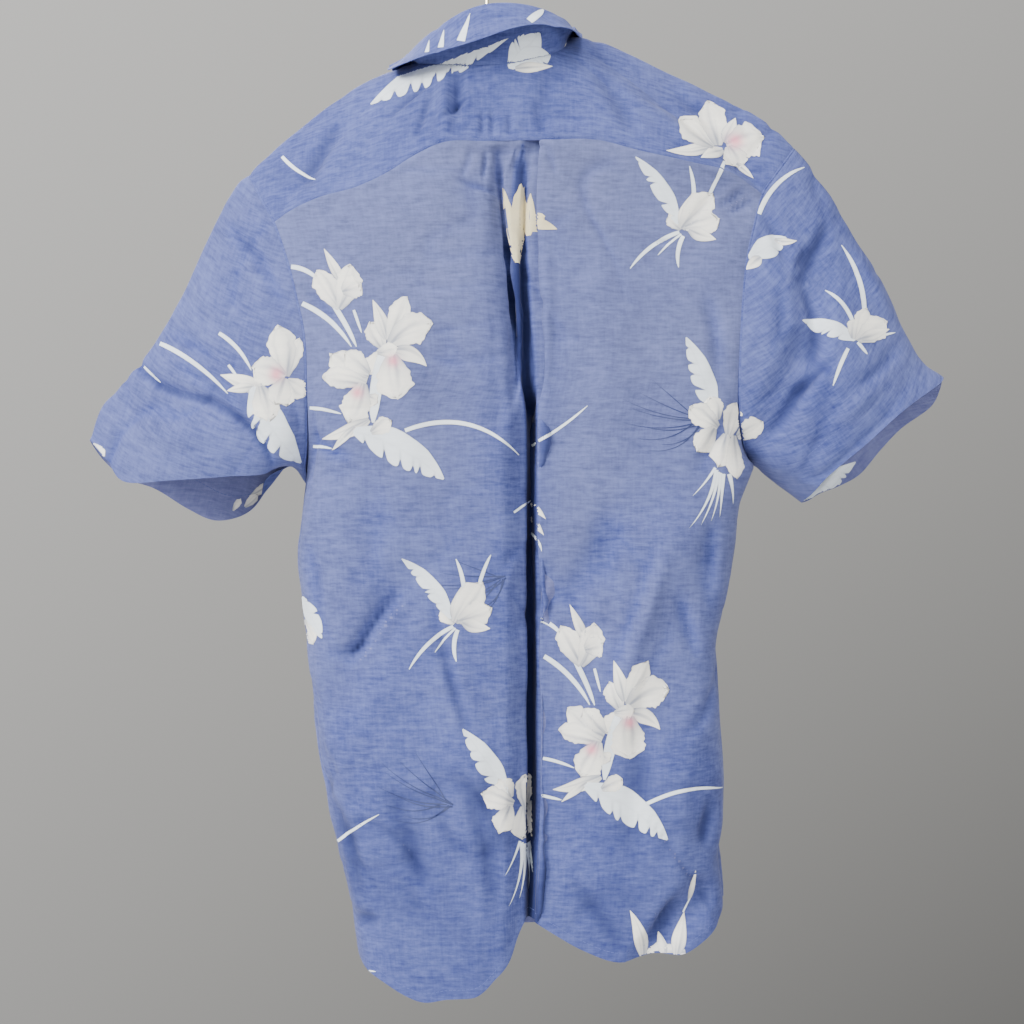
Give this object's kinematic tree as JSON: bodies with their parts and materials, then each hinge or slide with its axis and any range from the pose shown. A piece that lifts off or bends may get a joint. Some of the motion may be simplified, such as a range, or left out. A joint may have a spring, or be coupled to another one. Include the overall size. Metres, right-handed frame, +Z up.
{
  "type": "hawaiian shirt on a hanger",
  "caption": "Short-sleeved buttoned shirt with a pleated back, yoke and rolled collar, hanging on a round wooden hanger bar with a wire hook.",
  "frame": {"origin": "the inside top of the hanger's hook, where it hangs on a rail or a peg", "axes": "+Z up, -Y towards the viewer of the shirt's back, +X to that viewer's right, which is the shirt's right arm"},
  "size_m": [0.7094, 0.1426, 0.8669],
  "materials": {
    "chambray": "soft blue chambray, printed with white orchids and leaves",
    "button": "pearly, satin",
    "hanger_wood": "plain, satin",
    "hook_steel": "plain wire"
  },
  "bodies": {
    "root": {"back_panel": "chambray", "yoke": "chambray", "front_left": "chambray", "front_right": "chambray", "sleeve_left": "chambray", "sleeve_right": "chambray", "collar": "chambray", "button_1": "button", "button_2": "button", "button_3": "button", "button_4": "button", "button_5": "button", "button_6": "button", "button_7": "button", "hanger_bar": "hanger_wood", "hanger_hook": "hook_steel"}
  },
  "joints": []
}
